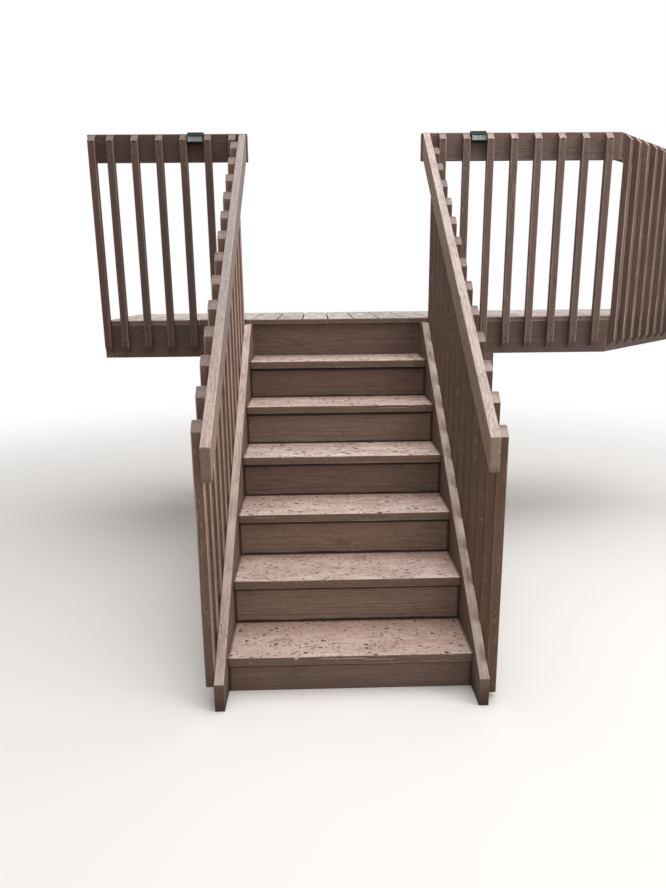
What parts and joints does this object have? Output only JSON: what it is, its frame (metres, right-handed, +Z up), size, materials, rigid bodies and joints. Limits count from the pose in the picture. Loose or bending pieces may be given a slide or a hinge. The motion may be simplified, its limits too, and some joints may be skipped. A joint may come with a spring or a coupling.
{
  "type": "wooden deck stairs",
  "caption": "Open-backed plank deck stairs between stringers with sloping baluster guards, rising to a strip of deck with level and angled guards.",
  "frame": {"origin": "middle of the bottom riser's foot, on the ground", "axes": "+X across the flight to the right when climbing, +Y up the flight towards the deck, +Z up"},
  "size_m": [3.743, 2.556, 2.351],
  "materials": {
    "stained_tread": "worn reddish-brown deck stain, speckled where it has flaked",
    "stained_board": "reddish-brown deck stain, matt",
    "stained_framing": "reddish-brown deck stain, matt",
    "stained_rail": "reddish-brown deck stain, faded on top",
    "stained_baluster": "reddish-brown deck stain, faded on the cut ends",
    "deck_board": "bleached deck stain, dry and matt",
    "light_housing": "dark moulded plastic, satin",
    "light_lens": "pale translucent plastic"
  },
  "bodies": {
    "root": {"tread_1": "stained_tread", "riser_1": "stained_board", "tread_2": "stained_tread", "riser_2": "stained_board", "tread_3": "stained_tread", "riser_3": "stained_board", "tread_4": "stained_tread", "riser_4": "stained_board", "tread_5": "stained_tread", "riser_5": "stained_board", "tread_6": "stained_tread", "riser_6": "stained_board", "stringer_left": "stained_framing", "tread_cleats_left": "stained_framing", "stair_rail_left": "stained_rail", "stair_balusters_left": "stained_baluster", "beam_left": "stained_framing", "deck_post_left_front": "stained_framing", "deck_post_left_back": "stained_framing", "rail_light_left": "light_housing", "rail_lens_left": "light_lens", "stringer_right": "stained_framing", "tread_cleats_right": "stained_framing", "stair_rail_right": "stained_rail", "stair_balusters_right": "stained_baluster", "beam_right": "stained_framing", "deck_post_right_front": "stained_framing", "deck_post_right_back": "stained_framing", "rail_light_right": "light_housing", "rail_lens_right": "light_lens", "front_rim_joist": "stained_framing", "angled_rim_joist": "stained_framing", "inner_joists": "stained_framing", "house_ledger": "stained_framing", "deck_boards_left": "deck_board", "deck_boards_middle": "deck_board", "deck_boards_right": "deck_board", "guard_rail_left": "stained_rail", "guard_balusters_left": "stained_baluster", "guard_rail_right": "stained_rail", "guard_balusters_right": "stained_baluster", "guard_rail_angled": "stained_rail", "guard_balusters_angled": "stained_baluster"}
  },
  "joints": []
}
